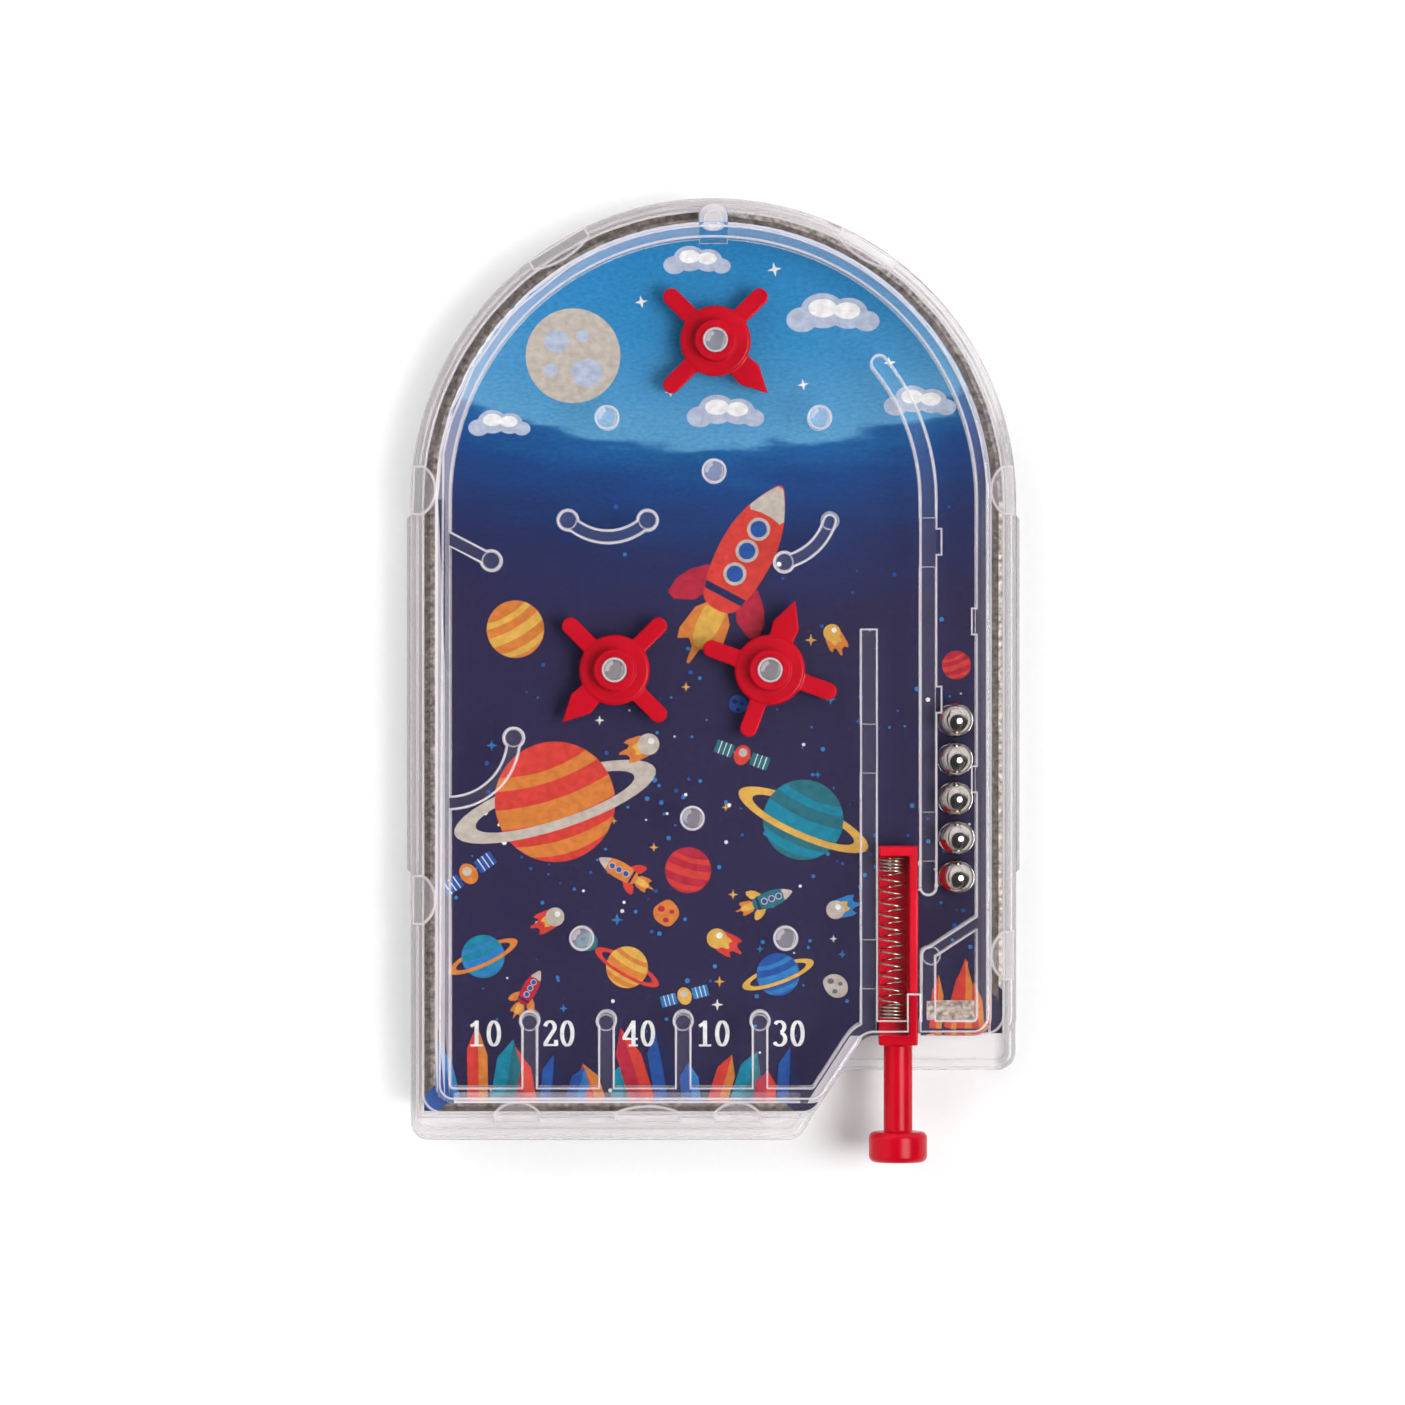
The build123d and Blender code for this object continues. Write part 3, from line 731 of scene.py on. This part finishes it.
def planet(x, y, radius, body, stripe, turn, ring_ink=None):
    """A striped planet, with a flat ring round it if the ring's ink is given."""
    lay(body, 1, arc(x, y, radius, radius))
    for low, high in ((-0.75, -0.52), (-0.18, 0.16), (0.46, 0.66)):
        lay(stripe, 2, placed(belt(low, high), x, y, turn, radius))
    if ring_ink:
        for layer, start in ((0, 0.0), (3, 180.0)):
            outer = arc(0, 0, 1.75, 0.46, start, start + 180)
            inner = arc(0, 0, 1.38, 0.30, start + 180, start)
            lay(ring_ink, layer, placed(outer + inner, x, y, turn, radius))


def comet(x, y, size, turn, head, tail):
    """A round head with a ragged tail in two inks."""
    ragged = [(0.2, 1), (-2.2, 1.3), (-1.5, 0.5), (-3.2, 0.4), (-1.9, -0.2), (-2.6, -1.0), (0.2, -1)]
    lay(tail, 1, placed(smooth(ragged, 1), x, y, turn, size))
    core = [(0.2, 0.7), (-1.7, 0.5), (-1.2, 0), (-1.6, -0.5), (0.2, -0.7)]
    lay("yellow", 2, placed(smooth(core, 1), x, y, turn, size))
    lay(head, 3, arc(x, y, size, size))
    lay("white", 4, arc(x + 0.25 * size, y + 0.3 * size, 0.3 * size, 0.3 * size))


def satellite(x, y, size, turn, body, panel):
    """A round body between two panels."""
    for side in (-1, 1):
        wing = [(0.9 * side, 0.6), (2.6 * side, 0.6), (2.6 * side, -0.6), (0.9 * side, -0.6)]
        lay(panel, 1, placed(wing, x, y, turn, size))
        for share in (1.3, 1.75, 2.2):
            near, far = share * side, share * side + 0.08
            bar = [(near, 0.6), (far, 0.6), (far, -0.6), (near, -0.6)]
            lay("white", 2, placed(bar, x, y, turn, size))
    lay("grey", 0, placed([(-1, 0.08), (1, 0.08), (1, -0.08), (-1, -0.08)], x, y, turn, size))
    lay(body, 1, placed(arc(0, 0, 0.75, 0.95), x, y, turn, size))
    lay("cream", 2, placed(arc(0, 0.25, 0.4, 0.4), x, y, turn, size))


def rocket(x, y, size, turn, body, fin):
    """A rocket that points along its turn, with fins, portholes and a flame."""
    flame = [(-1.0, 0.3), (-1.9, 0.45), (-1.7, 0.1), (-2.3, 0), (-1.7, -0.1), (-1.9, -0.45), (-1.0, -0.3)]
    lay("orange", 0, placed(smooth(flame, 1), x, y, turn, size))
    core = [(-1.0, 0.2), (-1.6, 0.2), (-1.9, 0), (-1.6, -0.2), (-1.0, -0.2)]
    lay("yellow", 1, placed(smooth(core, 1), x, y, turn, size))
    for side in (-1, 1):
        blade = [(-0.35, 0.36 * side), (-0.8, 0.85 * side), (-1.35, 0.9 * side), (-1.05, 0.25 * side)]
        lay(fin, 1, placed(smooth(blade, 1), x, y, turn, size))
    half = [(-1.1, 0.28), (-0.7, 0.42), (0, 0.5), (0.6, 0.42), (1.1, 0.2)]
    hull = half + [(1.4, 0)] + [(px, -py) for px, py in reversed(half)]
    lay(body, 2, placed(smooth(hull, 2), x, y, turn, size))
    nose = [(0.7, 0.38), (1.1, 0.19), (1.36, 0), (1.1, -0.19), (0.7, -0.38), (0.78, 0)]
    lay("cream", 3, placed(smooth(nose, 1), x, y, turn, size))
    hoop = [(-0.85, 0.36), (-0.72, 0.39), (-0.72, -0.39), (-0.85, -0.36)]
    lay("night", 3, placed(hoop, x, y, turn, size))
    for place in (-0.4, 0.05, 0.48):
        lay("cream", 3, placed(arc(place, 0, 0.2, 0.2), x, y, turn, size))
        lay("blue", 4, placed(arc(place, 0, 0.145, 0.145), x, y, turn, size))


def spokes(reaches):
    """Points at even angles round the origin, each at its own reach."""
    step = 2 * math.pi / len(reaches)
    return [(r * math.cos(step * n), r * math.sin(step * n)) for n, r in enumerate(reaches)]


def star(x, y, size, colour, turn=0.0):
    """A star with four long points, under the travellers."""
    lay(colour, LOWEST_LAYER + 1, placed(spokes((1, 0.32) * 4), x, y, turn, size))


def rock(x, y, size, colour, dent):
    """A lumpy rock with round dents."""
    lumps = spokes([random.uniform(0.8, 1.1) for _ in range(9)])
    lay(colour, 1, placed(smooth(lumps), x, y, 0, size))
    for px, py, r in ((-0.35, 0.3, 0.24), (0.35, 0.1, 0.17), (-0.05, -0.45, 0.2)):
        lay(dent, 2, placed(arc(px, py, r, r * 0.85), x, y, 0, size))


def cloud(x, y, size):
    """A bank of round puffs."""
    puffs = ((-1.3, 0, 0.6), (-0.5, 0.35, 0.85), (0.5, 0.25, 0.75), (1.2, -0.05, 0.5))
    for layer, (px, py, r) in enumerate(puffs):
        lay("cloud", layer, placed(arc(px, py, r, r * 0.8), x, y, 0, size))
    for layer, (px, py, r) in enumerate(((-0.5, 0.45, 0.55), (0.45, 0.35, 0.5))):
        lay("white", layer + 4, placed(arc(px, py, r, r * 0.65), x, y, 0, size))


def crystal(x, y, height, width, turn, colour, side, layer):
    """A pointed crystal with a shaded side, which grows up from x and y."""
    half, ridge = width / 2, 0.05 * width
    tip = [(0, height), (half, 0.62 * height), (half, 0)]
    lay(colour, layer, placed([(-half, 0), (-half, 0.7 * height)] + tip, x, y, turn))
    lay(side, layer + 1, placed([(ridge, 0), (ridge, 0.66 * height)] + tip, x, y, turn))


# Sky: a pale moon, puffs of cloud and small stars
moon_x, moon_y, moon_radius = MOON
lay("cream", 1, arc(moon_x, moon_y, moon_radius, moon_radius))
for x, y, radius in CRATERS:
    lay("cloud", 2, arc(x, y, radius, radius * 0.9))
for x, y, size in CLOUDS:
    cloud(x, y, size)
for x, y, size in SKY_STARS:
    star(x, y, size, "white", SKY_STAR_TURN)

# Large travellers
rocket(4.5, 17.5, 8.0, 62, "red", "crimson")
planet(-22.0, -17.0, 8.4, "red", "orange", 18, "cream")
planet(12.5, -19.5, 5.6, "teal", "turquoise", -24, "yellow")
planet(-27.5, 7.0, 4.0, "orange", "yellow", 30)

# Small travellers across the lower half
planet(-3.5, -26.5, 3.2, "crimson", "red", -15)
planet(-32.0, -38.5, 3.0, "turquoise", "cyan", 25, "orange")
planet(-12.0, -40.0, 2.9, "yellow", "orange", -30, "red")
planet(9.0, -41.0, 3.0, "blue", "cyan", 20, "yellow")
planet(33.8, 2.0, 2.0, "crimson", "red", 20)
comet(-9.0, -9.0, 1.5, 25, "cream", "orange")
comet(0.5, -36.0, 1.4, 155, "yellow", "red")
comet(17.0, -32.0, 1.3, -160, "cream", "cyan")
comet(-22.0, -33.0, 1.3, 30, "cream", "red")
comet(16.5, 6.5, 1.2, 120, "yellow", "orange")
satellite(-34.0, -27.0, 1.6, 35, "orange", "blue")
satellite(4.0, -10.5, 1.5, -20, "red", "teal")
satellite(-4.0, -44.0, 1.3, 15, "yellow", "cyan")
rocket(-13.0, -26.5, 2.5, 150, "orange", "red")
rocket(8.0, -30.5, 2.4, 20, "teal", "yellow")
rocket(-25.5, -43.0, 2.2, 60, "crimson", "orange")
rock(-6.5, -32.5, 2.1, "orange", "crimson")
rock(17.0, -42.5, 1.9, "cream", "grey")
rock(-17.5, -36.5, 1.6, "teal", "night")
rock(3.5, -3.5, 1.5, "blue", "night")

# Stars and specks scattered over the night
for _ in range(NIGHT_STARS):
    x, y = random.uniform(*NIGHT_STAR_X), random.uniform(*NIGHT_STAR_Y)
    star(x, y, random.uniform(*NIGHT_STAR_SIZE), random.choice(("white", "cyan", "yellow")))
for _ in range(SPECKS):
    radius = random.uniform(*SPECK_SIZE)
    y = max(SPECK_LOW_Y, min(SPECK_HIGH_Y, random.gauss(SPECK_MIDDLE_Y, SPECK_SPREAD)))
    left, right = SPECK_X
    x = random.uniform(left, CORNER_SPECK_X if y < CORNER_SPECK_Y else right)
    lay(random.choice(("cyan", "cyan", "blue", "white")), LOWEST_LAYER, arc(x, y, radius, radius))

# Crystals along the lower edge and below the ball channel, and a blue patch in the lower left corner
lay("blue", 0, BLUE_PATCH)
for count, first_x, step, y, heights, widths, lean, pairs in CRYSTAL_ROWS:
    for number in range(count):
        colour, side = pairs[number % len(pairs)]
        height, width, turn = random.uniform(*heights), random.uniform(*widths), random.uniform(-lean, lean)
        crystal(first_x + step * number, y, height, width, turn, colour, side, number % 3 * 2)


# Score numbers, drawn with a pen that is broad where it runs up or down
def stroke(points, thin=0.28, broad=0.56):
    """The outline of a pen's stroke along a line of points."""
    sides = ([], [])
    for behind, (x, y), ahead in zip(points[:1] + points, points, points[1:] + points[-1:]):
        run, rise = ahead[0] - behind[0], ahead[1] - behind[1]
        length = math.hypot(run, rise)
        reach = (thin + (broad - thin) * abs(rise) / length) / 2 / length
        for side, sign in zip(sides, (1, -1)):
            side.append((x - sign * reach * rise, y + sign * reach * run))
    return sides[0] + sides[1][::-1]


DIGITS = {
    "0": (arc(0, 1.8, 0.72, 1.64, 0, 180), arc(0, 1.8, 0.72, 1.64, 180, 360)),
    "1": ([(0, 0.1), (0, 3.58)], [(0.1, 3.4), (-0.8, 2.8)], [(-0.85, 0.14), (0.85, 0.14)]),
    "2": (
        arc(0, 2.66, 0.66, 0.8, 170, -20) + [(-0.72, 0.3)],
        [(-0.9, 0.2), (0.95, 0.2)],
        [(0.85, 0.1), (0.85, 0.9)],
    ),
    "3": (arc(-0.1, 2.72, 0.68, 0.74, 150, -80), arc(-0.1, 1.02, 0.8, 0.88, 80, -150)),
    "4": (
        [(0.4, 0.1), (0.4, 3.58)],
        [(0.4, 3.4), (-0.95, 1.1)],
        [(-1.1, 1.05), (1.0, 1.05)],
        [(-0.25, 0.14), (1.0, 0.14)],
    ),
}
for score, x in SCORES:
    for digit, side in zip(score, (-0.5, 0.5)):
        for number, line in enumerate(DIGITS[digit]):
            outline = placed(stroke(line), x + side * DIGIT_STEP, SCORE_Y)
            lay("white", SCORE_LAYER + STROKE_STEP * number, outline)


# The board itself, with the sky on its top face
def slant_x(y):
    """Where the slanted lower right corner is at a place along the card."""
    return CORNER_X + (y - CORNER_Y) / math.tan(math.radians(CORNER_SLOPE))


def card_outline():
    """The card seen from above, anticlockwise from its right side, with a notch for the locating pin."""
    right = arc(0, ARCH_Y, CARD_HALF, CARD_HALF, 0, 90 - NOTCH_GAP)
    notch = arc(0, PIN_Y, PIN_HOLE, PIN_HOLE, *NOTCH_ENDS)
    left = arc(0, ARCH_Y, CARD_HALF, CARD_HALF, 90 + NOTCH_GAP, 180)
    low = [(-CARD_HALF, CARD_LOW_Y), (slant_x(CARD_LOW_Y), CARD_LOW_Y)]
    corner = [(CORNER_X, CORNER_Y), (CARD_HALF, CORNER_Y)]
    return right + notch + left + low + corner


def slab(name, outline, low, high, materials, *stands_for):
    """A flat piece of even thickness, whose top face has the second material."""
    bm = bmesh.new()
    rows = [[bm.verts.new((x * MM, y * MM, z * MM)) for x, y in outline] for z in (low, high)]
    bm.faces.new(reversed(rows[0]))
    bm.faces.new(rows[1]).material_index = 1
    for n in range(len(outline)):
        bm.faces.new((rows[0][n - 1], rows[0][n], rows[1][n], rows[1][n - 1]))
    mesh = bpy.data.meshes.new(name)
    bm.to_mesh(mesh)
    bm.free()
    new_piece(name, mesh, materials, "case", "printed_board", *stands_for)


def flat_shapes(name, shapes, materials):
    """Flat shapes in one mesh. Each is a material's number, a height and an outline."""
    bm = bmesh.new()
    for number, z, outline in shapes:
        face = bm.faces.new([bm.verts.new((x * MM, y * MM, z * MM)) for x, y in outline])
        face.normal_update()
        if face.normal.z < 0:
            face.normal_flip()
        face.material_index = number
    mesh = bpy.data.meshes.new(name)
    bm.to_mesh(mesh)
    bm.free()
    new_piece(name, mesh, materials, "case", "printed_board")


slab("card_board", card_outline(), CARD_LOW, CARD_TOP, (board, sky_print()), "card")
ink_names = list(INK_COLOURS)
inks = [printed("ink_" + name, ink(*INK_COLOURS[name])) for name in ink_names]
card_shapes = []
for colour, layer, points in drawn:
    z = CARD_TOP + INK_STEP * (layer - LOWEST_LAYER + 1)
    card_shapes.append((ink_names.index(colour), z, points))
flat_shapes("card_print", card_shapes, inks)


# Grey speckled band under the cover's brim, with painted light and shade in its lighter and darker strips
def band(start, end, outer, inner):
    """Part of a band round the arch, between two angles."""
    return arc(0, ARCH_Y, outer, outer, start, end) + arc(0, ARCH_Y, inner, inner, end, start)


def strip(x0, x1, y0, y1, slant):
    """A straight part of a band, with its ends cut at a slant."""
    if x1 - x0 < y1 - y0:
        return [(x0, y0), (x1, y0 + slant), (x1, y1), (x0, y1)]
    return [(x0, y0), (x1, y0), (x1 - slant, y1), (x0 + slant, y1)]


band_shapes = []


def lay_band(tone, *outlines):
    """Adds parts of the band in one tone."""
    for points in outlines:
        band_shapes.append((list(BAND_TONES).index(tone), BAND_Z, points))


# The steps of tone across the band, on each side, are painted light and shade
left, right = BAND_LOW_X
for outer, inner, tone in LEFT_BAND:
    rise, wide = BAND_OUTER - outer, outer - inner
    low = CARD_LOW_Y - BAND_LOW_DROP + rise * BAND_LOW_SHARE
    side = strip(-outer, -inner, BAND_LEFT_Y + rise, ARCH_Y, wide)
    bottom = strip(left + rise, right - rise, low, low + wide * BAND_LOW_SHARE, wide)
    lay_band(tone, band(90 + PIN_GAP, 180, outer, inner), side, bottom)
for outer, inner, arch_tone, side_tone in RIGHT_BAND:
    low = BAND_RIGHT_Y + outer - RIGHT_BAND[-1][1]
    lay_band(arch_tone, band(0, 90 - PIN_GAP, outer, inner))
    lay_band(side_tone, strip(inner, outer, low, ARCH_Y, inner - outer))
lay_band("pale", strip(*SHELF_PATCH, 0.0))
flat_shapes("brim_texture", band_shapes, band_greys_and_shade)

# Painted light in the wall of the cover: a bright line, a lit part and a veil, all painted highlights that
# fade to the right
wall_shapes = []
for tone, (outer, inner) in enumerate(zip(WALL_EDGES, WALL_EDGES[1:])):
    for start, end in ((0, 90 - PIN_GAP), (90 + PIN_GAP, 180)):
        wall_shapes.append((ARCH_TONES[tone], WALL_Z, band(start, end, outer, inner)))
    top_y = WALL_FADE_Y if tone == LIGHT_TONE else ARCH_Y
    for points in (
        [(-outer, WALL_TAPER_Y), (-inner, WALL_LOW_Y[1]), (-inner, top_y), (-outer, ARCH_Y)],
        strip(inner, outer, CORNER_Y, ARCH_Y, 0.0),
        strip(WALL_LEFT_X, WALL_RIGHT_X, WALL_LOW_Y[tone], WALL_LOW_Y[tone + 1], 0.0),
    ):
        wall_shapes.append((tone, WALL_Z, points))
slant_y = WALL_LOW_Y[0]
slant = [(CORNER_X - SLANT_OUTER, CORNER_Y), (slant_x(slant_y) - SLANT_OUTER, slant_y)]
slant += [(slant_x(slant_y) - SLANT_INNER, slant_y), (CORNER_X - SLANT_INNER, CORNER_Y)]
wall_shapes.append((LINE_TONE, WALL_Z, slant))
# Painted highlight: a gleam along the lower rim
wall_shapes.append((GLEAM_TONE, GLEAM_Z, strip(*GLEAM_X, *GLEAM_Y, 0.0)))
flat_shapes("wall_light", wall_shapes, (wall_line, wall_light, wall_veil, rim_gleam))

# Painted highlights on the lens-like ends of the pegs and of the spinners' axles, with bright crescents, and
# the frosted tab over the locating pin
lens_highlights_and_tab = []
axles = []
for name in SPINNERS:
    middle = [(low + high) / 2 / MM for low, high in zip(*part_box(f"spinner_{name}"))]
    axles.append(middle[:2])
for line in ceiling_lines:
    girth = sum(math.dist(a, b) for a, b in zip(line, line[1:]))
    if girth < PEG_GIRTH:
        middle = [sum(point[axis] for point in line[1:]) / (len(line) - 1) for axis in (0, 1)]
        radius = LENS_SHARE * girth / 2 / math.pi
        is_axle = min(math.dist(middle, axle) for axle in axles) < AXLE_NEAR
        lens = PIN_LENS if is_axle else PEG_LENS
        lens_highlights_and_tab.append((lens, CEILING - LENS_DROP, arc(*middle, radius, radius)))
        for start, end, inner in CRESCENT_HIGHLIGHTS:
            outer_arc = arc(*middle, radius, radius, start, end)
            inner_arc = arc(*middle, radius * inner, radius * inner, end, start)
            lens_highlights_and_tab.append((CRESCENT_GLINT, CEILING - CRESCENT_DROP, outer_arc + inner_arc))
left, right, low, high = PIN_TAB
tab = [(left, low), (right, low), (right, high), (left, high)]
lens_highlights_and_tab.append((TAB_LENS, TAB_Z, smooth(tab)))
flat_shapes("lens_highlights_and_tab", lens_highlights_and_tab, (peg_light, pin_light, tab_light, round_light))


# Spring: closed coils at both ends and open ones between
def spring_line():
    """Points along the middle of the wire."""
    open_pitch = (SPRING_HIGH_Y - SPRING_LOW_Y - 2 * CLOSED_TURNS * CLOSED_PITCH) / OPEN_TURNS
    pitches = [CLOSED_PITCH] * CLOSED_TURNS + [open_pitch] * OPEN_TURNS + [CLOSED_PITCH] * CLOSED_TURNS
    points = []
    y = SPRING_LOW_Y
    for pitch in pitches:
        for n in range(TURN_POINTS):
            angle = 2 * math.pi * n / TURN_POINTS
            x, z = SPRING_X + COIL_RADIUS * math.cos(angle), SPRING_Z + COIL_RADIUS * math.sin(angle)
            points.append((x, y, z))
            y += pitch / TURN_POINTS
    return points


wire = tube("wire", [spring_line()], WIRE_RADIUS)
spring = new_piece("plunger_spring", wire, [spring_steel], "case", "spring_steel", "spring")
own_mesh(spring)

# Floor and lamps
floor_mesh = bpy.data.meshes.new("floor")
floor_corners = [(x * FLOOR_HALF, y * FLOOR_HALF, 0) for x, y in ((-1, -1), (1, -1), (1, 1), (-1, 1))]
floor_mesh.from_pydata(floor_corners, [], [(0, 1, 2, 3)])
floor = bpy.data.objects.new("floor", floor_mesh)
bpy.context.collection.objects.link(floor)
floor_mesh.materials.append(printed("floor_paper", FLOOR_TONE, FLOOR_SPREAD))
floor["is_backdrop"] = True

for name, (place, width, energy, shines) in LAMPS.items():
    lamp_data = bpy.data.lights.new(name, "AREA")
    lamp_data.shape = "DISK"
    lamp_data.size = width
    lamp_data.energy = energy
    lamp = bpy.data.objects.new(name, lamp_data)
    lamp.location = place
    lamp.visible_glossy = lamp.visible_transmission = shines
    lamp.rotation_euler = (-lamp.location).to_track_quat("-Z", "Y").to_euler()
    bpy.context.collection.objects.link(lamp)

# Room: lighter to the far side, with a dark part overhead, which is larger in what glossy pieces mirror
world = bpy.data.worlds.new("studio")
bpy.context.scene.world = world
world.use_nodes = True
tree = world.node_tree
direction = add(tree, "ShaderNodeTexCoord").outputs["Generated"]
split = add(tree, "ShaderNodeSeparateXYZ")
tree.links.new(direction, split.inputs["Vector"])
sweep = add(tree, "ShaderNodeMapRange", From_Min=-1.0, To_Min=NEAR_LEVEL, To_Max=FAR_LEVEL)
tree.links.new(split.outputs["Y"], sweep.inputs["Value"])


def room(wide, deep, x, y, dark_end, light_start):
    """The room's light, with an oval dark part overhead that is moved to x and y."""
    away = distance(tree, direction, (1 / wide, 1 / deep, 0), (-x / wide, -y / deep, 0))
    dome = ramp(tree, away, ((dark_end, ROOM_DARK), (light_start, ROOM_LIGHT)))
    node = add(tree, "ShaderNodeBackground")
    tree.links.new(dome, node.inputs["Color"])
    tree.links.new(sweep.outputs["Result"], node.inputs["Strength"])
    return node.outputs["Background"]


path = add(tree, "ShaderNodeLightPath")
seen = mixed(tree, path.outputs["Is Glossy Ray"], room(*LIT_OVAL), room(*MIRRORED_OVAL))
tree.links.new(seen, tree.nodes["World Output"].inputs["Surface"])

# Camera straight above, at the photo's scale
camera_data = bpy.data.cameras.new("camera")
camera_data.sensor_width = SENSOR_WIDTH
camera_data.lens = SENSOR_WIDTH * (CAMERA_HEIGHT - PLANE_SEEN) / (PHOTO_SIDE / PIXELS_PER_MM * MM)
camera = bpy.data.objects.new("camera", camera_data)
camera.location = (CAMERA_X * MM, CAMERA_Y * MM, CAMERA_HEIGHT)
bpy.context.collection.objects.link(camera)
bpy.context.scene.camera = camera
bpy.context.scene.view_settings.view_transform = "Standard"

size = {"frame": [list(corner) for corner in frame_box], "scene": [list(corner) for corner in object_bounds()]}
